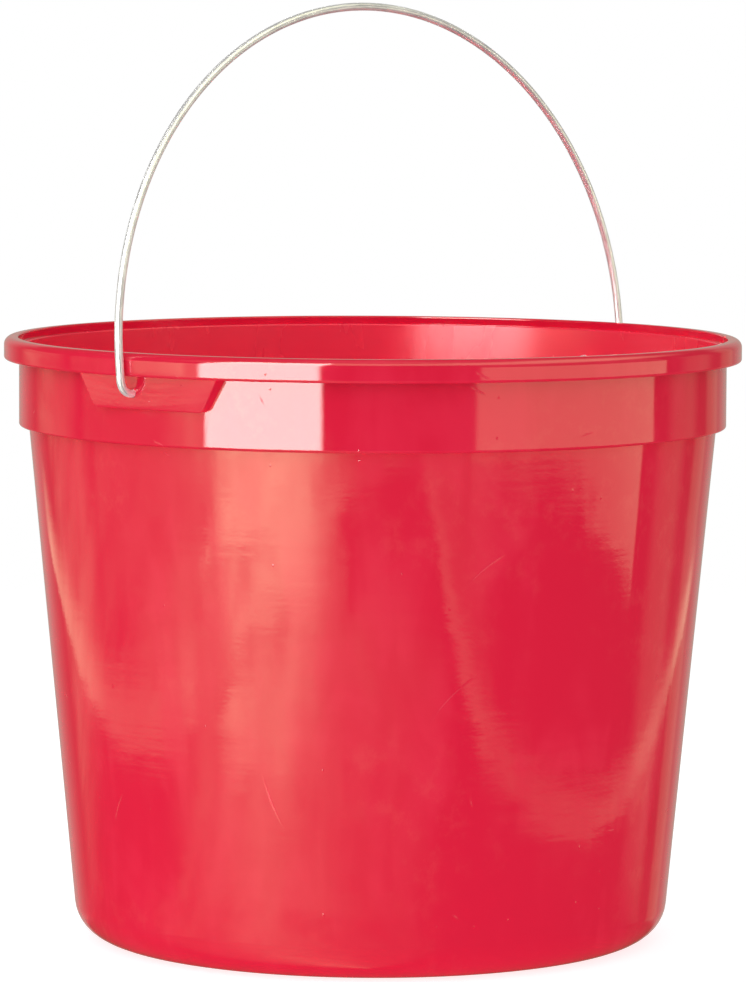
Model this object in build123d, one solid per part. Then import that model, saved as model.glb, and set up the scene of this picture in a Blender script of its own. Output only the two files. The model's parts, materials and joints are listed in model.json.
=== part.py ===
from build123d import *
import os
from math import sqrt

# A wash bucket: a moulded plastic pail with a steel wire bail that swings in two ear holes.
# Millimetres. +Z is up, the origin is the centre of the base on the ground, and the bail's
# pivot axis runs along X, over the origin.

# ---------------------------------------------------------------- driving dimensions
# Rim: a flange with a short skirt, and a ledge just inside it where a lid would sit
RIM_RADIUS = 108.0
RIM_TOP = 176.7
RIM_BOTTOM = 170.2
RIM_TOP_ROUND = 2.3
RIM_BOTTOM_ROUND = 0.8
SKIRT_THICKNESS = 1.8
SKIRT_GAP_TOP = 173.2
RIM_INNER_RADIUS = 103.8
LEDGE_DEPTH = 2.4
EDGE_ROUND = 0.5

# Band: the straight collar under the rim, which grows thicker towards its foot
BAND_RADIUS = 103.6
BAND_TOP_THICKNESS = 1.1
BAND_FOOT_THICKNESS = 2.7
BAND_BOTTOM = 150.8
BAND_ROUND = 0.6

# Wall and base
WALL_THICKNESS = 1.5
WALL_TOP_RADIUS = 100.7
WALL_FOOT_RADIUS = 87.4
WALL_FOOT_HEIGHT = 11.5
BASE_ROUND = 11.5
FLOOR_HEIGHT = 3.0
FOOT_RING_INNER = 67.0
FOOT_RECESS = 1.2

# Ear pads: flat-faced trapezoids under the rim, one on each side. A pad's root runs into
# the plastic above the rim's gap, and stops short of the skirt's outer face.
PAD_FACE = 104.8
PAD_TOP_HALF = 24.5
PAD_BOTTOM_HALF = 19.4
PAD_BOTTOM = 160.9
PAD_CORNER_ROUND = 3.0
PAD_EDGE_ROUND = 0.4
PAD_TURN = 2.9
PAD_ROOT_GAP = 0.6
PAD_ROOT_OVERLAP = 0.5

# Bail: one bent wire, a half-ellipse bow on two short legs that hook in through the ears.
# It has side play, and rests pushed over to +X with its -X leg beside the rim.
WIRE_RADIUS = 1.15
EAR_HOLE_RADIUS = 1.20
PIVOT_HEIGHT = 165.3
BOW_HALF_WIDTH = 114.9
BOW_RISE = 98.6
LEG_LENGTH = 9.4
KNEE_RADIUS = 4.0
TAIL_HALF_WIDTH = 93.5
TAIL_LENGTH = 7.0
TAIL_BEND_RADIUS = 2.5
BAIL_SHIFT = 5.4
BAIL_LEAN = 4.6

# ---------------------------------------------------------------- derived dimensions
BAND_INNER_TOP = BAND_RADIUS - BAND_TOP_THICKNESS
BAND_INNER_FOOT = BAND_RADIUS - BAND_FOOT_THICKNESS
WALL_SLOPE = (WALL_TOP_RADIUS - WALL_FOOT_RADIUS) / (BAND_BOTTOM - WALL_FOOT_HEIGHT)
WALL_THICKNESS_ACROSS = WALL_THICKNESS * sqrt(1 + WALL_SLOPE**2)
INNER_STEP_HEIGHT = BAND_BOTTOM + WALL_THICKNESS
LEDGE_HEIGHT = RIM_TOP - LEDGE_DEPTH


def wall_radius(z):
    """Outer radius of the tapered wall's straight line at height z."""
    return WALL_FOOT_RADIUS + WALL_SLOPE * (z - WALL_FOOT_HEIGHT)


def inner_wall_radius(z):
    """Inner radius of the tapered wall's straight line at height z."""
    return wall_radius(z) - WALL_THICKNESS_ACROSS


def make_shell():
    """The pail without its ears: one profile, turned about Z."""
    # Each corner of the profile is (radius from the axis, height, rounding).
    corners = [
        (0, FOOT_RECESS, 0),
        (FOOT_RING_INNER, FOOT_RECESS, EDGE_ROUND),
        (FOOT_RING_INNER + FOOT_RECESS, 0, EDGE_ROUND),
        (wall_radius(0), 0, BASE_ROUND),
        (WALL_TOP_RADIUS, BAND_BOTTOM, EDGE_ROUND),
        (BAND_RADIUS, BAND_BOTTOM, BAND_ROUND),
        (BAND_RADIUS, SKIRT_GAP_TOP, 0),
        (RIM_RADIUS - SKIRT_THICKNESS, SKIRT_GAP_TOP, 0),
        (RIM_RADIUS - SKIRT_THICKNESS, RIM_BOTTOM, 0),
        (RIM_RADIUS, RIM_BOTTOM, RIM_BOTTOM_ROUND),
        (RIM_RADIUS, RIM_TOP, RIM_TOP_ROUND),
        (RIM_INNER_RADIUS, RIM_TOP, EDGE_ROUND),
        (RIM_INNER_RADIUS, LEDGE_HEIGHT, 0),
        (BAND_INNER_TOP, LEDGE_HEIGHT, EDGE_ROUND),
        (BAND_INNER_FOOT, INNER_STEP_HEIGHT, EDGE_ROUND),
        (inner_wall_radius(INNER_STEP_HEIGHT), INNER_STEP_HEIGHT, EDGE_ROUND),
        (inner_wall_radius(FLOOR_HEIGHT), FLOOR_HEIGHT, BASE_ROUND - WALL_THICKNESS),
        (0, FLOOR_HEIGHT, 0),
    ]
    points = [corner[:2] for corner in corners]
    roundings = [corner[2] for corner in corners]
    with BuildPart() as shell:
        with BuildSketch(Plane.XZ):
            with BuildLine():
                FilletPolyline(*points, radius=roundings, close=True)
            make_face()
        revolve(axis=Axis.Z)
    return shell.part


def make_ear_pad():
    """The pad on the +X side: a flat boss on the band, joined to the underside of the rim."""
    root_top = SKIRT_GAP_TOP + PAD_ROOT_OVERLAP
    outline = [
        (-PAD_TOP_HALF, root_top),
        (-PAD_TOP_HALF, RIM_BOTTOM),
        (-PAD_BOTTOM_HALF, PAD_BOTTOM),
        (PAD_BOTTOM_HALF, PAD_BOTTOM),
        (PAD_TOP_HALF, RIM_BOTTOM),
        (PAD_TOP_HALF, root_top),
    ]
    roundings = [0, 0, PAD_CORNER_ROUND, PAD_CORNER_ROUND, 0, 0]
    band_middle = BAND_RADIUS - BAND_TOP_THICKNESS / 2
    with BuildPart() as pad:
        with BuildSketch(Plane.YZ):
            with BuildLine():
                FilletPolyline(*outline, radius=roundings, close=True)
            make_face()
        extrude(amount=PAD_FACE)
        face_edges = pad.faces().sort_by(Axis.X)[-1].edges().filter_by_position(
            Axis.Z, PAD_BOTTOM, RIM_BOTTOM
        )
        fillet(face_edges, radius=PAD_EDGE_ROUND)
        # The root fills the rim's gap above the pad, out into the skirt.
        with BuildSketch(Plane.XY.offset(RIM_BOTTOM)):
            Circle(RIM_RADIUS - PAD_ROOT_GAP)
            Rectangle(2 * RIM_RADIUS, 2 * PAD_TOP_HALF, mode=Mode.INTERSECT)
            Rectangle(RIM_RADIUS, 2 * PAD_TOP_HALF, align=(Align.MAX, Align.CENTER), mode=Mode.SUBTRACT)
        extrude(amount=root_top - RIM_BOTTOM)
        Cylinder(
            band_middle,
            RIM_TOP,
            align=(Align.CENTER, Align.CENTER, Align.MIN),
            mode=Mode.SUBTRACT,
        )
    return pad.part


def make_pail_body():
    """The whole moulding: shell, two ear pads and the pivot hole through both."""
    pad = make_ear_pad()
    body = make_shell()
    body += pad.rotate(Axis.Z, PAD_TURN)
    body += pad.rotate(Axis.Z, PAD_TURN + 180)
    ear_holes = Cylinder(EAR_HOLE_RADIUS, 2 * RIM_RADIUS, rotation=(0, 90, 0))
    body -= Pos(0, 0, PIVOT_HEIGHT) * ear_holes
    return body


def hook_points(side):
    """Route of one hook, from the top of its leg to the end of its tail (side is 1 or -1)."""
    leg = side * BOW_HALF_WIDTH
    tail = side * TAIL_HALF_WIDTH
    return [(leg, LEG_LENGTH), (leg, 0), (tail, 0), (tail, -TAIL_LENGTH)]


def make_wire_bail():
    """The bail, bent in one plane about its pivot axis, then set over to its rest position."""
    bends = [KNEE_RADIUS, TAIL_BEND_RADIUS]
    tail_end = (TAIL_HALF_WIDTH, 0, -TAIL_LENGTH)
    with BuildPart() as bail:
        with BuildLine(Plane.XZ) as route:
            FilletPolyline(*hook_points(1), radius=bends)
            EllipticalCenterArc((0, LEG_LENGTH), BOW_HALF_WIDTH, BOW_RISE, start_angle=0, arc_size=180)
            FilletPolyline(*hook_points(-1), radius=bends)
        with BuildSketch(Plane(origin=tail_end, z_dir=(0, 0, 1))):
            Circle(WIRE_RADIUS)
        sweep(path=route.wire())
    return Pos(BAIL_SHIFT, 0, PIVOT_HEIGHT) * bail.part.rotate(Axis.X, -BAIL_LEAN)


os.makedirs("parts", exist_ok=True)
export_step(make_pail_body(), "parts/pail_body.step")
export_step(make_wire_bail(), "parts/wire_bail.step")
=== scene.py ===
import json
import math

import bmesh
import bpy
from mathutils import Matrix, Vector


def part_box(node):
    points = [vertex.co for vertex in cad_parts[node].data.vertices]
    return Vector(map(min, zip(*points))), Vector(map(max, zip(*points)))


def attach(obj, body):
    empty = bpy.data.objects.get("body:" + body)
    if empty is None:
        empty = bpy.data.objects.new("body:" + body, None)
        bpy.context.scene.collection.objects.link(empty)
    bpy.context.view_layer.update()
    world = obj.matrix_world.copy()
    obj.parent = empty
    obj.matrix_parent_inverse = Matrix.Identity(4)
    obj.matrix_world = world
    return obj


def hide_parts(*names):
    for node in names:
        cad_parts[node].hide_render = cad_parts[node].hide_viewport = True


# A wash bucket: a glossy red moulded pail and the bright zinc-plated wire bail that swings over it.
# Metres, in the CAD frame: +Z up, origin at the centre of the base, pivot axis along X.

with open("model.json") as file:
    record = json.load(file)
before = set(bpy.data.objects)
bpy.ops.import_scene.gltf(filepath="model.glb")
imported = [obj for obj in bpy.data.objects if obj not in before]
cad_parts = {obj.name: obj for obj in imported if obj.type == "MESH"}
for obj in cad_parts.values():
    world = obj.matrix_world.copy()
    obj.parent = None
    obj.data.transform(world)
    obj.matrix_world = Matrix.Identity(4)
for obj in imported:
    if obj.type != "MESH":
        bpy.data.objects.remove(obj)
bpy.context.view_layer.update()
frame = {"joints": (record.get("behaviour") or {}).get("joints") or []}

MM = 0.001
TOUCHING = 0.001 * MM        # points nearer than this are in one place

# ---------------------------------------------------------------- sizes taken from the frame
pail_low, pail_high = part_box("pail_body")
bail_low, bail_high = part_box("wire_bail")
pivot = Vector(frame["joints"][0]["pos_m"])
RIM_RADIUS = (pail_high.x - pail_low.x) / 2
PAIL_HEIGHT = pail_high.z

# ---------------------------------------------------------------- the pail's profile
RIM_BOTTOM = 170.2 * MM
RIM_TOP_ROUND = 2.3 * MM
RIM_BOTTOM_ROUND = 0.8 * MM
SKIRT_INNER = RIM_RADIUS - 1.8 * MM
SKIRT_GAP_TOP = 173.2 * MM
RIM_INNER_RADIUS = 103.8 * MM
LEDGE_HEIGHT = PAIL_HEIGHT - 2.4 * MM
EDGE_ROUND = 0.5 * MM
BAND_RADIUS = 103.6 * MM
BAND_BOTTOM = 150.8 * MM
BAND_ROUND = 0.6 * MM
BAND_TOP_THICKNESS = 1.1 * MM
BAND_FOOT_THICKNESS = 2.7 * MM
BAND_MIDDLE = BAND_RADIUS - BAND_TOP_THICKNESS / 2
WALL_THICKNESS = 1.5 * MM
WALL_TOP_RADIUS = 100.7 * MM
WALL_FOOT_RADIUS = 87.4 * MM
WALL_FOOT_HEIGHT = 11.5 * MM
BASE_ROUND = 11.5 * MM
FLOOR_HEIGHT = 3.0 * MM
FOOT_RING_INNER = 67.0 * MM
FOOT_RECESS = 1.2 * MM
WALL_SLOPE = (WALL_TOP_RADIUS - WALL_FOOT_RADIUS) / (BAND_BOTTOM - WALL_FOOT_HEIGHT)

# How finely the meshes are divided
AROUND = 384                   # faces round the pail
HOLE_SIDES = 48                # faces round an ear hole
WIRE_SIDES = 24                # faces round the wire
ARC_STEP = math.radians(9)     # turn between two points of a rounding
LONGEST_FACE = 12 * MM
LONGEST_WIRE_FACE = 1.5 * MM

# ---------------------------------------------------------------- ear pads and bail
PAD_FACE = 104.8 * MM
PAD_TOP_HALF = 24.5 * MM
PAD_BOTTOM_HALF = 19.4 * MM
PAD_BOTTOM = 160.9 * MM
PAD_CORNER_ROUND = 3.0 * MM
PAD_EDGE_ROUND = 0.4 * MM
PAD_TURN = math.radians(2.9)
PAD_ROOT_RADIUS = RIM_RADIUS - 0.6 * MM
PAD_ROOT_HALF = math.asin(PAD_TOP_HALF / PAD_ROOT_RADIUS)
EAR_HOLE_RADIUS = 1.2 * MM

WIRE_RADIUS = 1.15 * MM
LEG_LENGTH = 9.4 * MM
KNEE_RADIUS = 4.0 * MM
TAIL_HALF_WIDTH = 93.5 * MM
TAIL_LENGTH = 7.0 * MM
TAIL_BEND_RADIUS = 2.5 * MM
CUT_CHAMFER = 0.25 * MM
BAIL_LEAN = math.radians(4.6)
BAIL_SHIFT = (bail_low.x + bail_high.x) / 2
BOW_HALF_WIDTH = (bail_high.x - bail_low.x) / 2 - WIRE_RADIUS
BOW_RISE = (bail_high.z - WIRE_RADIUS - pivot.z) / math.cos(BAIL_LEAN) - LEG_LENGTH

# ---------------------------------------------------------------- camera
VIEW_AZIMUTH = -50.3         # degrees; 0 looks along +Y
VIEW_PITCH = 5.094           # degrees below level
VIEW_ROLL = 0.264            # degrees
VIEW_DISTANCE = 14.90 * RIM_RADIUS
VIEW_HEIGHT = 2.5424 * RIM_RADIUS
VIEW_ASIDE = 0.2 * MM
LENS_MM = 201.46
SENSOR_MM = 36.0

# ---------------------------------------------------------------- floor
FLOOR_RADIUS = 1.2
FLOOR_FADE = (0.3, 1.0)      # where the disc starts and ends fading into the white surround

scene = bpy.context.scene
scene.view_settings.view_transform = "Standard"


# ---------------------------------------------------------------- mesh helpers
def link(name, mesh):
    obj = bpy.data.objects.new(name, mesh)
    scene.collection.objects.link(obj)
    return obj


def rounded_outline(corners, closed=False):
    """Points of an outline whose corners (x, y, rounding) are rounded with true arcs."""
    points = []
    last = len(corners) - 1
    for i, (x, y, rounding) in enumerate(corners):
        corner = Vector((x, y))
        if rounding == 0 or (not closed and i in (0, last)):
            points.append(corner)
            continue
        to_last = (Vector(corners[i - 1][:2]) - corner).normalized()
        to_next = (Vector(corners[(i + 1) % len(corners)][:2]) - corner).normalized()
        half = to_last.angle(to_next) / 2
        centre = corner + (to_last + to_next).normalized() * (rounding / math.sin(half))
        start = corner + to_last * (rounding / math.tan(half)) - centre
        end = corner + to_next * (rounding / math.tan(half)) - centre
        sweep = math.pi - 2 * half
        steps = max(3, math.ceil(sweep / ARC_STEP))
        for k in range(steps + 1):
            t = sweep * k / steps
            points.append(centre + (start * math.sin(sweep - t) + end * math.sin(t)) / math.sin(sweep))
    return points


def with_long_runs_divided(points, longest):
    """The same outline with points added along its straight runs, no further apart than longest."""
    divided = [points[0]]
    for a, b in zip(points, points[1:]):
        pieces = max(1, math.ceil((b - a).length / longest))
        divided += [a.lerp(b, k / pieces) for k in range(1, pieces + 1)]
    return divided


def circle(radius, sides):
    """Points (x, y) of a circle about the origin."""
    turns = [2 * math.pi * k / sides for k in range(sides)]
    return [(radius * math.cos(t), radius * math.sin(t)) for t in turns]


def lathe(name, outline):
    """A closed solid turned about Z from (radius, height) points that start and end on the axis."""
    bm = bmesh.new()
    rings = []
    for radius, height in outline:
        if radius < TOUCHING:
            rings.append([bm.verts.new((0, 0, height))])
            continue
        rings.append([bm.verts.new((x, y, height)) for x, y in circle(radius, AROUND)])
    for low, high in zip(rings, rings[1:]):
        for k in range(AROUND):
            n = (k + 1) % AROUND
            if len(low) == 1:
                bm.faces.new((low[0], high[n], high[k]))
            elif len(high) == 1:
                bm.faces.new((low[k], low[n], high[0]))
            else:
                bm.faces.new((low[k], low[n], high[n], high[k]))
    return finished(name, bm)


def finished(name, bm):
    """The object made from a bmesh, with all its faces looking outwards."""
    bmesh.ops.recalc_face_normals(bm, faces=bm.faces)
    mesh = bpy.data.meshes.new(name)
    bm.to_mesh(mesh)
    bm.free()
    return link(name, mesh)


def prism(name, outline, direction):
    """A closed solid: an outline of 3-D points pushed along a direction."""
    bm = bmesh.new()
    near = [bm.verts.new(p) for p in outline]
    far = [bm.verts.new(p + direction) for p in outline]
    bm.faces.new(near)
    bm.faces.new(far)
    for k in range(len(outline)):
        n = (k + 1) % len(outline)
        bm.faces.new((near[k], near[n], far[n], far[k]))
    return finished(name, bm)


def apply_modifiers(obj):
    """Replace the object's mesh with the mesh that its modifiers give."""
    depsgraph = bpy.context.evaluated_depsgraph_get()
    shown = obj.evaluated_get(depsgraph)
    mesh = bpy.data.meshes.new_from_object(shown, preserve_all_data_layers=True, depsgraph=depsgraph)
    obj.modifiers.clear()
    obj.data = mesh


def combine(target, tool, operation):
    """Boolean with the tool, which is then removed."""
    modifier = target.modifiers.new(operation, "BOOLEAN")
    modifier.operation = operation
    modifier.solver = "EXACT"
    modifier.object = tool
    apply_modifiers(target)
    bpy.data.objects.remove(tool)


def smooth(obj, sharp_above):
    """Smooth shading, with an edge left sharp where its faces turn by more than this angle."""
    obj.data.polygons.foreach_set("use_smooth", [True] * len(obj.data.polygons))
    obj.data.set_sharp_from_angle(angle=sharp_above)


# ---------------------------------------------------------------- the pail
def wall_radius(z):
    """Outer radius of the tapered wall's straight line at height z."""
    return WALL_FOOT_RADIUS + WALL_SLOPE * (z - WALL_FOOT_HEIGHT)


def make_shell():
    """The pail without its ears: one profile, turned about Z."""
    across = WALL_THICKNESS * math.sqrt(1 + WALL_SLOPE**2)
    step = BAND_BOTTOM + WALL_THICKNESS
    profile = rounded_outline([
        (0, FOOT_RECESS, 0),
        (FOOT_RING_INNER, FOOT_RECESS, EDGE_ROUND),
        (FOOT_RING_INNER + FOOT_RECESS, 0, EDGE_ROUND),
        (wall_radius(0), 0, BASE_ROUND),
        (WALL_TOP_RADIUS, BAND_BOTTOM, EDGE_ROUND),
        (BAND_RADIUS, BAND_BOTTOM, BAND_ROUND),
        (BAND_RADIUS, SKIRT_GAP_TOP, 0),
        (SKIRT_INNER, SKIRT_GAP_TOP, 0),
        (SKIRT_INNER, RIM_BOTTOM, 0),
        (RIM_RADIUS, RIM_BOTTOM, RIM_BOTTOM_ROUND),
        (RIM_RADIUS, PAIL_HEIGHT, RIM_TOP_ROUND),
        (RIM_INNER_RADIUS, PAIL_HEIGHT, EDGE_ROUND),
        (RIM_INNER_RADIUS, LEDGE_HEIGHT, 0),
        (BAND_RADIUS - BAND_TOP_THICKNESS, LEDGE_HEIGHT, EDGE_ROUND),
        (BAND_RADIUS - BAND_FOOT_THICKNESS, step, EDGE_ROUND),
        (wall_radius(step) - across, step, EDGE_ROUND),
        (wall_radius(FLOOR_HEIGHT) - across, FLOOR_HEIGHT, BASE_ROUND - WALL_THICKNESS),
        (0, FLOOR_HEIGHT, 0),
    ])
    return lathe("pail", with_long_runs_divided(profile, LONGEST_FACE))


def make_ear_pad(turn):
    """One flat pad with softened front edges, turned about Z from the +X side."""
    top = SKIRT_GAP_TOP + 0.5 * MM  # a little into the rim's plastic
    outline = rounded_outline([
        (-PAD_TOP_HALF, top, 0),
        (-PAD_TOP_HALF, RIM_BOTTOM, 0),
        (-PAD_BOTTOM_HALF, PAD_BOTTOM, PAD_CORNER_ROUND),
        (PAD_BOTTOM_HALF, PAD_BOTTOM, PAD_CORNER_ROUND),
        (PAD_TOP_HALF, RIM_BOTTOM, 0),
        (PAD_TOP_HALF, top, 0),
    ], closed=True)
    # The back starts behind the band's middle, and is then cut to follow it.
    back = math.sqrt(BAND_MIDDLE**2 - PAD_TOP_HALF**2) - 0.4 * MM
    pad = prism("pad", [Vector((back, y, z)) for y, z in outline], Vector((PAD_FACE - back, 0, 0)))
    bm = bmesh.new()
    bm.from_mesh(pad.data)
    front = [e for e in bm.edges if all(abs(v.co.x - PAD_FACE) < TOUCHING for v in e.verts)]
    bmesh.ops.bevel(bm, geom=front, offset=PAD_EDGE_ROUND, segments=4, profile=0.5, affect="EDGES")
    bm.to_mesh(pad.data)
    bm.free()
    pad.data.transform(Matrix.Rotation(turn, 4, "Z"))
    core = [Vector((x, y, 0)) for x, y in circle(BAND_MIDDLE, AROUND)]
    combine(pad, prism("band_core", core, Vector((0, 0, PAIL_HEIGHT))), "DIFFERENCE")
    return pad


def make_pad_root(turn):
    """What fills the rim's gap above a pad: a curved block from the band out into the skirt."""
    steps = 12  # on each side of the pad's middle
    turns = [turn + PAD_ROOT_HALF * k / steps for k in range(-steps, steps + 1)]
    # Its faces lie a tenth of a millimetre off the pad's, for a clean union.
    low = RIM_BOTTOM + 0.1 * MM
    high = SKIRT_GAP_TOP + 0.4 * MM
    outline = []
    for radius, run in ((PAD_ROOT_RADIUS, turns), (BAND_MIDDLE, reversed(turns))):
        outline += [Vector((radius * math.cos(t), radius * math.sin(t), low)) for t in run]
    return prism("pad_root", outline, Vector((0, 0, high - low)))


def make_pail():
    """The whole moulding: shell, two ear pads with their roots, and the pivot hole through both."""
    pail = make_shell()
    for turn in (PAD_TURN, PAD_TURN + math.pi):
        combine(pail, make_ear_pad(turn), "UNION")
        combine(pail, make_pad_root(turn), "UNION")
    hole = [Vector((-RIM_RADIUS, y, pivot.z + z)) for y, z in circle(EAR_HOLE_RADIUS, HOLE_SIDES)]
    combine(pail, prism("ear_holes", hole, Vector((2 * RIM_RADIUS, 0, 0))), "DIFFERENCE")
    smooth(pail, math.radians(32))
    # Large faces keep their own direction, so the shading turns only along the small roundings.
    pail.modifiers.new("normals", "WEIGHTED_NORMAL").keep_sharp = True
    apply_modifiers(pail)
    return pail


# ---------------------------------------------------------------- the bail
def bail_route():
    """The wire's centreline as (x, height over the pivot), from one tail's end to the other's."""
    hook = rounded_outline([
        (TAIL_HALF_WIDTH, -TAIL_LENGTH, 0),
        (TAIL_HALF_WIDTH, 0, TAIL_BEND_RADIUS),
        (BOW_HALF_WIDTH, 0, KNEE_RADIUS),
        (BOW_HALF_WIDTH, LEG_LENGTH, 0),
    ])
    steps = 220
    turns = [math.pi * k / steps for k in range(1, steps)]
    bow = [Vector((BOW_HALF_WIDTH * math.cos(t), LEG_LENGTH + BOW_RISE * math.sin(t))) for t in turns]
    far_hook = [Vector((-x, height)) for x, height in reversed(hook)]
    return with_long_runs_divided(hook + bow + far_hook, LONGEST_WIRE_FACE)


def make_bail():
    """A round wire along the route, with slightly chamfered cut ends, set over to its rest position."""
    route = bail_route()
    section = circle(WIRE_RADIUS, WIRE_SIDES)
    cut_size = 1 - CUT_CHAMFER / WIRE_RADIUS
    bm = bmesh.new()
    # Each point keeps its place across and along the wire, for the drawing marks.
    drawn = bm.verts.layers.float_vector.new("drawn")
    rings = []
    along = 0.0
    for i, point in enumerate(route):
        before, after = route[max(i - 1, 0)], route[min(i + 1, len(route) - 1)]
        direction = (after - before).normalized()
        outward = Vector((direction.y, -direction.x))
        along += (point - before).length if i else 0.0
        stations = [(point, 1.0)]
        if i == 0:
            stations = [(point, cut_size), (point + direction * CUT_CHAMFER, 1.0)]
        if i == len(route) - 1:
            stations = [(point - direction * CUT_CHAMFER, 1.0), (point, cut_size)]
        for centre, size in stations:
            ring = []
            for across, aside in section:
                flat = centre + outward * (size * across)
                vertex = bm.verts.new((flat.x, size * aside, flat.y))
                vertex[drawn] = (across, aside, along)
                ring.append(vertex)
            rings.append(ring)
    for low, high in zip(rings, rings[1:]):
        for k in range(WIRE_SIDES):
            n = (k + 1) % WIRE_SIDES
            bm.faces.new((low[k], low[n], high[n], high[k]))
    bm.faces.new(rings[0])
    bm.faces.new(rings[-1])
    bail = finished("bail", bm)
    place = Matrix.Translation((BAIL_SHIFT, 0, pivot.z)) @ Matrix.Rotation(-BAIL_LEAN, 4, "X")
    bail.data.transform(place)
    smooth(bail, math.radians(40))
    return bail


# ---------------------------------------------------------------- node helpers
class Graph:
    """Short calls for adding nodes to one node tree; a value may be a number or a socket."""

    def __init__(self, tree):
        self.nodes, self.links = tree.nodes, tree.links

    def put(self, value, socket):
        if isinstance(value, bpy.types.NodeSocket):
            self.links.new(value, socket)
        else:
            socket.default_value = value

    def math(self, operation, *values):
        node = self.nodes.new("ShaderNodeMath")
        node.operation = operation
        for value, socket in zip(values, node.inputs):
            self.put(value, socket)
        return node.outputs[0]

    def add(self, *values):
        total = values[0]
        for value in values[1:]:
            total = self.math("ADD", total, value)
        return total

    def times(self, *values):
        product = values[0]
        for value in values[1:]:
            product = self.math("MULTIPLY", product, value)
        return product

    def ease(self, value, start, end, low=0.0, high=1.0):
        """A smooth step from low, where value is start, to high, where value is end."""
        node = self.nodes.new("ShaderNodeMapRange")
        node.interpolation_type = "SMOOTHSTEP"
        names = ("Value", "From Min", "From Max", "To Min", "To Max")
        for name, item in zip(names, (value, start, end, low, high)):
            self.put(item, node.inputs[name])
        return node.outputs["Result"]

    def between(self, value, start, end, soft):
        """1 from start to end, 0 outside, with edges soft wide."""
        rise = self.ease(value, start - soft / 2, start + soft / 2)
        fall = self.ease(value, end + soft / 2, end - soft / 2)
        return self.times(rise, fall)

    def noise(self, vector, scale, detail=2.0, roughness=0.5, distortion=0.0):
        node = self.nodes.new("ShaderNodeTexNoise")
        self.put(vector, node.inputs["Vector"])
        node.inputs["Scale"].default_value = scale
        node.inputs["Detail"].default_value = detail
        node.inputs["Roughness"].default_value = roughness
        node.inputs["Distortion"].default_value = distortion
        return node.outputs["Fac"]

    def combine(self, x, y, z):
        node = self.nodes.new("ShaderNodeCombineXYZ")
        for value, socket in zip((x, y, z), node.inputs):
            self.put(value, socket)
        return node.outputs[0]

    def split(self, vector):
        node = self.nodes.new("ShaderNodeSeparateXYZ")
        self.links.new(vector, node.inputs[0])
        return node.outputs

    def mix(self, factor, a, b):
        node = self.nodes.new("ShaderNodeMix")
        node.data_type = "RGBA"
        self.put(factor, node.inputs["Factor"])
        self.put(a, node.inputs["A"])
        self.put(b, node.inputs["B"])
        return node.outputs["Result"]


def new_material(name):
    """A material, its graph and its principled shader."""
    mat = bpy.data.materials.new(name)
    mat.use_nodes = True
    return mat, Graph(mat.node_tree), mat.node_tree.nodes["Principled BSDF"]


# ---------------------------------------------------------------- camera, lights and floor
def turned(azimuth):
    """Level unit vector from the origin towards a viewer at this azimuth."""
    a = math.radians(azimuth)
    return Vector((math.sin(a), -math.cos(a), 0.0))


def add_camera():
    """The camera, far back with a long lens, a little above the rim and looking slightly down."""
    data = bpy.data.cameras.new("camera")
    data.lens = LENS_MM
    data.sensor_width = SENSOR_MM
    data.clip_start = 0.05
    data.clip_end = 50.0
    cam = bpy.data.objects.new("camera", data)
    scene.collection.objects.link(cam)
    back = turned(VIEW_AZIMUTH)
    right = turned(VIEW_AZIMUTH + 90)
    cam.location = back * VIEW_DISTANCE + right * VIEW_ASIDE + Vector((0, 0, VIEW_HEIGHT))
    pitch = math.radians(VIEW_PITCH)
    forward = -back * math.cos(pitch) - Vector((0, 0, math.sin(pitch)))
    level = forward.to_track_quat("-Z", "Y")
    roll = Matrix.Rotation(math.radians(VIEW_ROLL), 4, "Z")
    cam.matrix_world = Matrix.Translation(cam.location) @ level.to_matrix().to_4x4() @ roll
    scene.camera = cam


def add_softbox(name, azimuth, elevation, distance, width, height, power):
    """A large soft light that faces the pail; its azimuth is measured from the camera's own."""
    data = bpy.data.lights.new(name, "AREA")
    data.shape = "RECTANGLE"
    data.size = width
    data.size_y = height
    data.energy = power
    light = bpy.data.objects.new(name, data)
    scene.collection.objects.link(light)
    target = Vector((0, 0, PAIL_HEIGHT * 0.6))  # a little over the pail's middle
    e = math.radians(elevation)
    level = turned(VIEW_AZIMUTH + azimuth)
    light.location = target + (level * math.cos(e) + Vector((0, 0, math.sin(e)))) * distance
    light.rotation_mode = "QUATERNION"
    light.rotation_quaternion = (light.location - target).to_track_quat("Z", "Y")
    light.visible_camera = False
    light.visible_glossy = False


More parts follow.
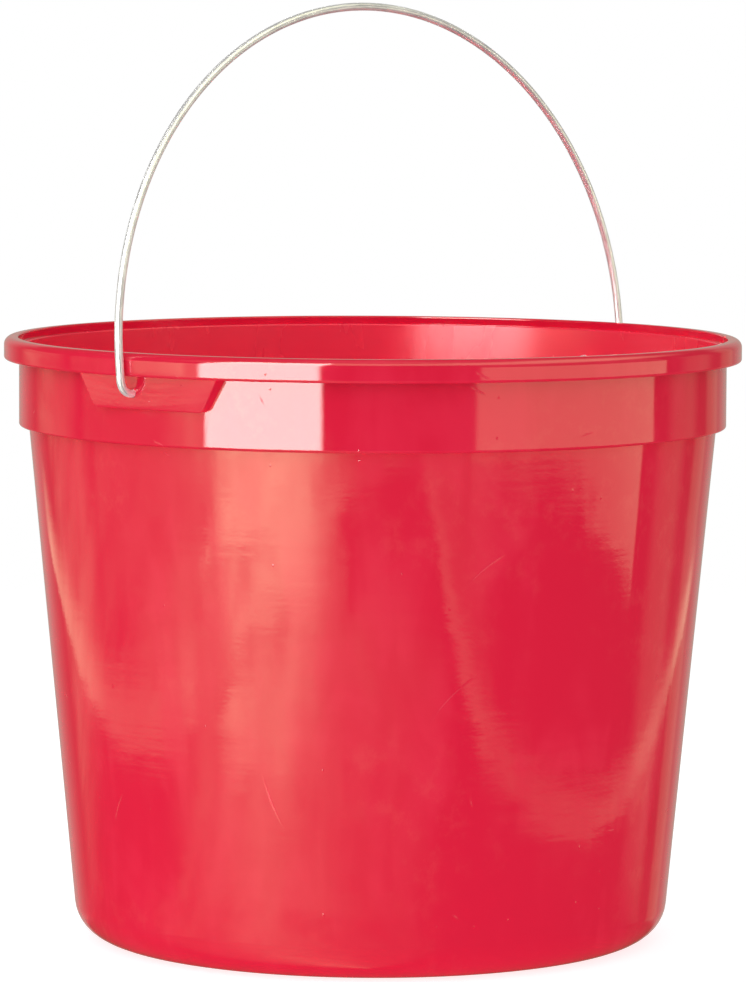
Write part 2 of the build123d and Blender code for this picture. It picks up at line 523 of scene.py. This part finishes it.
def studio_reflections(g):
    """What gloss sees round the pail: windows, their glow on a pale table, and dark gaps.

    Azimuth is in degrees to the right of the camera's own place, elevation in degrees above level.
    Each window is left, right, low, high, radiance, and then how soft its sides and ends are.
    """
    direction = g.nodes.new("ShaderNodeTexCoord").outputs["Generated"]
    x, y, z = g.split(direction)
    bearing = g.math("DEGREES", g.math("ARCTAN2", x, g.times(y, -1.0)))
    azimuth = g.math("WRAP", g.math("SUBTRACT", bearing, VIEW_AZIMUTH), 180.0, -180.0)
    elevation = g.math("DEGREES", g.math("ARCSINE", z))
    # Noise on the table and in the room is drawn out sideways, and slants a little.
    slant = g.add(elevation, g.times(azimuth, 0.012))
    sky = g.combine(g.times(azimuth, 0.016), g.times(slant, 0.6), 0.0)
    drift = g.math("SUBTRACT", g.noise(sky, 1.3, 3.0, 0.6, 0.5), 0.5)
    ripple = g.math("SUBTRACT", g.noise(sky, 4.0, 5.0, 0.66, 0.6), 0.5)
    bent = g.add(elevation, g.times(drift, 1.5), g.times(ripple, 1.0))
    swung = g.add(azimuth, g.times(ripple, 46.0))
    cloud = g.ease(g.noise(sky, 3.2, 5.0, 0.66, 0.7), 0.3, 0.7, 0.45, 1.5)

    def window(left, right, low, high, radiance, soft_sides=1.5, soft_ends=3.0):
        ends = g.between(elevation, low, high, soft_ends)
        return g.times(g.between(azimuth, left, right, soft_sides), ends, radiance)

    def height_over(lowest, centre, rise_left, rise_right):
        """Degrees over a line that sags to its lowest elevation, like a table's far edge."""
        away = g.math("SUBTRACT", azimuth, centre)
        rise = g.ease(away, -0.5, 0.5, rise_left, rise_right)
        line = g.add(g.times(away, away, rise), lowest)
        return g.math("SUBTRACT", g.add(elevation, g.times(ripple, 0.3)), line)

    # The glow of the main window, left of the camera, on the table below it.
    from_middle = g.times(g.add(azimuth, 38.0), 1 / 25)
    bell = g.math("EXPONENT", g.times(g.math("POWER", from_middle, 2.0), -1.0))
    near_glow = g.times(g.between(swung, -54.0, -18.0, 12.0), g.ease(bent, -18.6, -14.4), 3.6)
    far_glow = g.times(bell, g.ease(bent, -21.5, -15.5, 0.8, 2.3))
    haze_level = g.ease(elevation, -20.5, -17.5, 0.25, 0.42)
    haze = g.times(g.between(swung, -92.0, 22.0, 24.0), g.ease(bent, -11.0, -16.0), haze_level)
    glow = g.times(g.add(near_glow, far_glow, haze), g.ease(elevation, -9.5, -13.0), cloud)

    # Right of the camera, the table's edge: a pale line with the dark room inside it.
    over_right = height_over(-18.0, 45.0, 0.003, 0.00084)
    span_right = g.between(azimuth, 16.0, 150.0, 8.0)
    edge_right = g.times(g.ease(over_right, -0.06, 0.06), g.ease(over_right, 0.75, 0.2))
    line_right = g.times(edge_right, span_right, 0.8)
    inner_light = g.times(g.ease(over_right, 0.0, 0.3), g.between(swung, 17.0, 42.0, 12.0), 0.32)
    inner_light = g.times(inner_light, g.ease(elevation, -13.5, -15.2))
    under_right = g.times(g.between(over_right, -0.5, -0.08, 0.3), g.between(azimuth, 14.0, 52.0, 8.0))

    # Left of the camera, a second edge with its dark gap under it.
    over_left = height_over(-16.5, -55.0, 0.00092, 0.004)
    span_left = g.between(azimuth, -150.0, -66.0, 6.0)
    edge_left = g.times(g.ease(over_left, -0.1, 0.12), g.ease(over_left, 1.1, 0.1))
    line_left = g.times(edge_left, span_left, 0.95)
    haze_left = g.times(g.ease(over_left, 0.0, 0.6), span_left)
    haze_left = g.times(haze_left, g.ease(elevation, -9.0, -12.5), cloud, 0.3)
    under_left = g.times(g.between(over_left, -1.5, -0.1, 0.4), g.between(azimuth, -150.0, -78.0, 20.0))

    # A dark gap just right of the glow, crossed by a pale wisp.
    gap = g.times(g.between(swung, -9.0, 24.0, 6.0), g.between(bent, -17.0, -13.0, 0.5))
    wisp_line = g.add(g.times(azimuth, 0.027), -15.75)
    over_wisp = g.math("SUBTRACT", g.add(elevation, g.times(ripple, 0.4)), wisp_line)
    wisp = g.times(g.between(over_wisp, -0.12, 0.12, 0.2), g.between(azimuth, -24.0, 12.0, 14.0), 1.1)

    # How much of the glow each dark gap lets through.
    kept = g.times(
        g.ease(under_right, 0.0, 1.0, 1.0, 0.25),
        g.ease(under_left, 0.0, 1.0, 1.0, 0.12),
        g.ease(gap, 0.0, 1.0, 1.0, 0.1),
    )

    # The right window's foot slants, and it is brighter higher up.
    slope = g.math("SUBTRACT", bent, g.times(g.math("SUBTRACT", azimuth, 45.0), 0.035))
    right_foot = g.ease(slope, -15.1, -14.6)
    right_fade = g.ease(elevation, -14.5, -10.5, 0.95, 1.75)
    right_head = g.ease(elevation, 3.0, 0.5, 0.15, 1.0)
    right_window = g.times(g.between(azimuth, 33.2, 102.5, 1.5), right_head, right_foot, right_fade)
    main_window = window(-54.8, -16.2, -10.5, 55.0, 15.2, 2.2)

    # Light from behind and above, which shows along the outlines and inside the rim.
    behind = g.ease(g.math("ABSOLUTE", azimuth), 136.0, 164.0)
    rear = g.times(behind, g.between(elevation, -17.0, 24.0, 4.0), 0.32)
    ceiling = g.ease(elevation, 62.0, 84.0, 0.0, 0.55)
    upper = g.times(g.between(elevation, 34.0, 64.0, 14.0), g.between(azimuth, -60.0, 125.0, 50.0), 2.3)
    ambient = 0.11

    room = g.add(
        g.times(glow, kept),
        line_right, inner_light, line_left, haze_left, wisp, right_window,
        window(-79.0, -60.0, -4.1, 12.0, 1.6, 3.0, 0.3),
        window(-68.0, -55.0, -9.5, 12.0, 0.6, 8.0),
        window(-62.0, -54.0, -9.5, 12.0, 0.9, 6.0),
        g.times(window(-107.0, -60.0, -12.0, 12.0, 0.3, 4.0), cloud),
        g.times(window(-138.0, -113.0, -12.5, 12.0, 0.38, 9.0), cloud),
        window(112.0, 128.0, -14.5, 14.0, 0.3, 8.0),
        window(138.0, 150.0, -16.0, 20.0, 0.2, 4.0),
        upper,
        ambient,
    )
    # The room's light is a little warm; the main window, the rear and the ceiling are nearly white.
    pale = g.add(main_window, rear, ceiling)
    red_and_green = g.add(room, pale)
    blue = g.add(g.times(room, 0.62), g.times(pale, 0.94))
    return g.combine(red_and_green, red_and_green, blue)


def add_world():
    """White to the camera, an even fill for diffuse light, and the studio in reflections."""
    world = bpy.data.worlds.new("studio")
    scene.world = world
    world.cycles.sampling_method = "NONE"
    world.use_nodes = True
    g = Graph(world.node_tree)
    g.nodes.clear()
    # The fill falls off towards the camera's right, where the room is darker.
    x, y, z = g.split(g.nodes.new("ShaderNodeTexCoord").outputs["Generated"])
    right = turned(VIEW_AZIMUTH + 90)
    rightward = g.add(g.times(x, right.x), g.times(y, right.y))
    shade = g.times(g.math("MAXIMUM", rightward, 0.0), -0.22)
    level = g.add(g.times(rightward, -0.11), shade, g.times(z, 0.08), 0.94)
    path = g.nodes.new("ShaderNodeLightPath")
    shader = background(g, g.combine(level, level, level))
    for ray, colour in (("Is Glossy Ray", studio_reflections(g)), ("Is Camera Ray", (1, 1, 1, 1))):
        mix = g.nodes.new("ShaderNodeMixShader")
        g.put(path.outputs[ray], mix.inputs["Fac"])
        g.put(shader, mix.inputs[1])
        g.put(background(g, colour), mix.inputs[2])
        shader = mix.outputs["Shader"]
    g.put(shader, g.nodes.new("ShaderNodeOutputWorld").inputs["Surface"])


def background(g, colour):
    node = g.nodes.new("ShaderNodeBackground")
    g.put(colour, node.inputs["Color"])
    return node.outputs["Background"]


def add_floor():
    """A round white floor, wide enough to hold the contact shadow."""
    bpy.ops.mesh.primitive_circle_add(vertices=128, radius=FLOOR_RADIUS, fill_type="NGON")
    floor = bpy.context.object
    floor.name = "floor"
    floor.data.materials.append(floor_material())
    floor.visible_glossy = False


def floor_material():
    """Matt white, partly lit from within, so that only the contact shadow shows on it."""
    mat, g, bsdf = new_material("floor_white")
    bsdf.inputs["Base Color"].default_value = (0.4, 0.4, 0.4, 1)
    bsdf.inputs["Emission Color"].default_value = (1, 1, 1, 1)
    bsdf.inputs["Emission Strength"].default_value = 0.8
    bsdf.inputs["Roughness"].default_value = 1.0
    bsdf.inputs["Specular IOR Level"].default_value = 0.0
    # The disc fades out towards its edge, so the white surround takes over without a line.
    away = g.nodes.new("ShaderNodeVectorMath")
    away.operation = "LENGTH"
    g.put(g.nodes.new("ShaderNodeTexCoord").outputs["Object"], away.inputs[0])
    g.put(g.ease(away.outputs["Value"], *FLOOR_FADE, 1.0, 0.0), bsdf.inputs["Alpha"])
    return mat


# ---------------------------------------------------------------- materials
RED = (0.72, 0.0105, 0.046, 1)
RED_CLOUDED = (0.76, 0.016, 0.056, 1)
# Painted light: a brighter red for the inner side, standing in for light that comes through the thin
# plastic.
RED_PAINTED_LIGHT_THROUGH = (0.88, 0.019, 0.066, 1)
# Partly painted sheen: a paler red for rubbed patches, partly wear and partly light caught by scuffs.
RED_RUBBED_AND_SHEEN = (0.80, 0.075, 0.085, 1)
ZINC_DULL = (0.72, 0.71, 0.74, 1)
ZINC_BRIGHT = (0.93, 0.92, 0.95, 1)

# Heights that the bumps stand up; a minus sign is a groove.
SLOW_RIPPLE = 0.08 * MM
SHORT_RIPPLE = 0.0022 * MM
TURNING_LINES = 0.006 * MM
SCUFF_GROOVE = -0.02 * MM
SPECK_HEIGHT = 0.06 * MM
DRAWING_LINES = 0.01 * MM


def red_plastic():
    """Glossy red polyethylene: cloudy flow marks, a faint ripple, fine scuffs and specks."""
    mat, g, bsdf = new_material("red_plastic")
    place = g.nodes.new("ShaderNodeTexCoord").outputs["Object"]
    x, y, z = g.split(place)
    # Unrolled surface, in metres: distance round the pail, then along its profile.
    radius = g.math("POWER", g.add(g.times(x, x), g.times(y, y)), 0.5)
    round_pail = g.times(g.math("ARCTAN2", x, y), RIM_RADIUS)
    up_profile = g.math("SUBTRACT", z, radius)
    unrolled = g.combine(round_pail, up_profile, 0.0)
    drawn_out = g.combine(x, y, g.times(z, 0.28))

    # Cloudy flow marks, and paler patches: partly rubbed wear, partly a painted sheen of scuffs
    # catching light.
    cloud = g.noise(place, 22.0, 4.0, 0.6, 0.8)
    flow = g.noise(drawn_out, 60.0, 3.0, 0.55, 1.0)
    haze = g.ease(g.times(cloud, flow), 0.2, 0.42)
    rubbed_and_sheen_areas = g.ease(g.noise(place, 14.0, 3.0, 0.6), 0.45, 0.62)
    rubbed_and_sheen_grain = g.ease(g.noise(unrolled, 130.0, 5.0, 0.7), 0.47, 0.7)

    # The outside is worn most, and also carries most of the painted sheen. The inside's colour is
    # painted light: it is made brighter to stand in for light that comes through the thin plastic.
    inside = inner_side(g, radius, z)
    wear_and_sheen = g.ease(inside, 0.0, 1.0, 1.0, 0.15)
    tint = g.mix(haze, RED, RED_CLOUDED)
    tint = g.mix(inside, tint, RED_PAINTED_LIGHT_THROUGH)
    # Paler patches: partly rubbed wear, partly painted sheen.
    tint = g.mix(g.times(rubbed_and_sheen_areas, rubbed_and_sheen_grain, wear_and_sheen, 0.25), tint, RED_RUBBED_AND_SHEEN)
    g.put(tint, bsdf.inputs["Base Color"])

    scuffs = g.times(scuff_marks(g, unrolled), wear_and_sheen)
    specks = g.times(speck_marks(g, unrolled), wear_and_sheen)
    polish = g.ease(flow, 0.3, 0.75, 0.03, 0.055)
    rough = g.add(polish, g.times(haze, 0.02), g.times(scuffs, 0.3), g.times(inside, 0.22))
    g.put(rough, bsdf.inputs["Roughness"])

    # A slow ripple from cooling, a fainter short one, and the turning lines of the mould.
    slow = g.times(g.noise(place, 24.0, 2.0, 0.45, 0.3), SLOW_RIPPLE)
    short = g.times(g.noise(place, 800.0, 2.0, 0.6), SHORT_RIPPLE)
    turned_lines = g.combine(g.times(round_pail, 16.0), g.times(up_profile, 240.0), 0.0)
    turning = g.times(g.noise(turned_lines, 1.0, 3.0, 0.5), TURNING_LINES)
    marks = g.add(g.times(scuffs, SCUFF_GROOVE), g.times(specks, SPECK_HEIGHT), turning)
    bump = g.nodes.new("ShaderNodeBump")
    bump.inputs["Strength"].default_value = 1.0
    bump.inputs["Distance"].default_value = 1.0
    g.put(g.add(slow, short, marks), bump.inputs["Height"])
    g.put(bump.outputs["Normal"], bsdf.inputs["Normal"])
    return mat


def inner_side(g, radius, z):
    """1 on the inner side of the pail, which the core of the mould leaves satin.

    The sides of the wall and base are told apart by the distance from the centre of the base
    corner's rounding, carried up along the leaning wall; those of the band, by the radius alone.
    """
    over_foot = g.math("SUBTRACT", z, WALL_FOOT_HEIGHT)
    lean = g.times(g.math("MAXIMUM", over_foot, 0.0), WALL_SLOPE)
    out = g.math("SUBTRACT", g.math("SUBTRACT", radius, lean), WALL_FOOT_RADIUS - BASE_ROUND)
    out = g.math("MAXIMUM", out, 0.0)
    down = g.math("MINIMUM", over_foot, 0.0)
    from_round = g.math("POWER", g.add(g.times(out, out), g.times(down, down)), 0.5)
    within_wall = g.math("LESS_THAN", from_round, BASE_ROUND - WALL_THICKNESS / 2)
    over_step = g.math("GREATER_THAN", z, BAND_BOTTOM + WALL_THICKNESS / 2)
    within_band = g.times(g.math("LESS_THAN", radius, BAND_MIDDLE), over_step)
    return g.math("MAXIMUM", within_wall, within_band)


def scattered_cells(g, unrolled, per_metre):
    """Flat cells, each with its own centre and its own random colour."""
    cells = g.nodes.new("ShaderNodeTexVoronoi")
    cells.voronoi_dimensions = "2D"
    cells.inputs["Scale"].default_value = per_metre
    g.put(unrolled, cells.inputs["Vector"])
    return cells


def scuff_marks(g, unrolled):
    """Sparse short scratches, one at most in each cell, turned at random."""
    cells = scattered_cells(g, unrolled, 30.0)
    pick, spin, size = g.split(cells.outputs["Color"])
    offset = g.nodes.new("ShaderNodeVectorMath")
    offset.operation = "SUBTRACT"
    g.put(unrolled, offset.inputs[0])
    g.put(cells.outputs["Position"], offset.inputs[1])
    turn = g.nodes.new("ShaderNodeVectorRotate")
    turn.rotation_type = "Z_AXIS"
    g.put(offset.outputs["Vector"], turn.inputs["Vector"])
    g.put(g.times(spin, 2 * math.pi), turn.inputs["Angle"])
    along, across = g.split(turn.outputs["Vector"])[:2]
    bow = g.times(along, along, 12.0)
    width = g.math("ABSOLUTE", g.math("SUBTRACT", across, bow))
    length = g.math("ABSOLUTE", along)
    line = g.times(g.ease(width, 0.35 * MM, 0.08 * MM), g.ease(length, g.times(size, 11 * MM), 0.0))
    return g.times(line, g.ease(pick, 0.58, 0.62))


def speck_marks(g, unrolled):
    """Tiny raised specks, as dust leaves in a moulding."""
    cells = scattered_cells(g, unrolled, 75.0)
    pick, size = g.split(cells.outputs["Color"])[:2]
    dot = g.ease(cells.outputs["Distance"], g.times(size, 0.045), 0.0)
    return g.times(dot, g.ease(pick, 0.78, 0.82))


def bright_wire():
    """Zinc-plated drawn wire: pale metal with drawing marks along it and a soft spangle."""
    mat, g, bsdf = new_material("bright_wire")
    drawn = g.nodes.new("ShaderNodeAttribute")
    drawn.attribute_name = "drawn"
    across_x, across_y, along = g.split(drawn.outputs["Vector"])
    lines = g.noise(g.combine(across_x, across_y, g.times(along, 0.03)), 3500.0, 3.0)
    spangle = g.noise(g.combine(across_x, across_y, g.times(along, 0.5)), 420.0, 2.0)
    tone = g.ease(g.add(g.times(lines, 0.5), g.times(spangle, 0.5)), 0.35, 0.65)
    g.put(g.mix(tone, ZINC_DULL, ZINC_BRIGHT), bsdf.inputs["Base Color"])
    g.put(g.ease(lines, 0.3, 0.7, 0.26, 0.42), bsdf.inputs["Roughness"])
    bsdf.inputs["Metallic"].default_value = 0.5
    bump = g.nodes.new("ShaderNodeBump")
    bump.inputs["Distance"].default_value = DRAWING_LINES
    g.put(lines, bump.inputs["Height"])
    g.put(bump.outputs["Normal"], bsdf.inputs["Normal"])
    return mat


# ---------------------------------------------------------------- the object
def add_piece(piece, body, node, material):
    """Give a finished piece its material and its body, and hide the CAD node that it stands for."""
    piece.data.materials.clear()
    piece.data.materials.append(material)
    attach(piece, body)
    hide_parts(node)


add_piece(make_pail(), "pail", "pail_body", red_plastic())
add_piece(make_bail(), "bail", "wire_bail", bright_wire())

add_camera()
add_world()
add_floor()
add_softbox("key_left", azimuth=-60.0, elevation=35.0, distance=1.8, width=1.4, height=1.0, power=3.0)
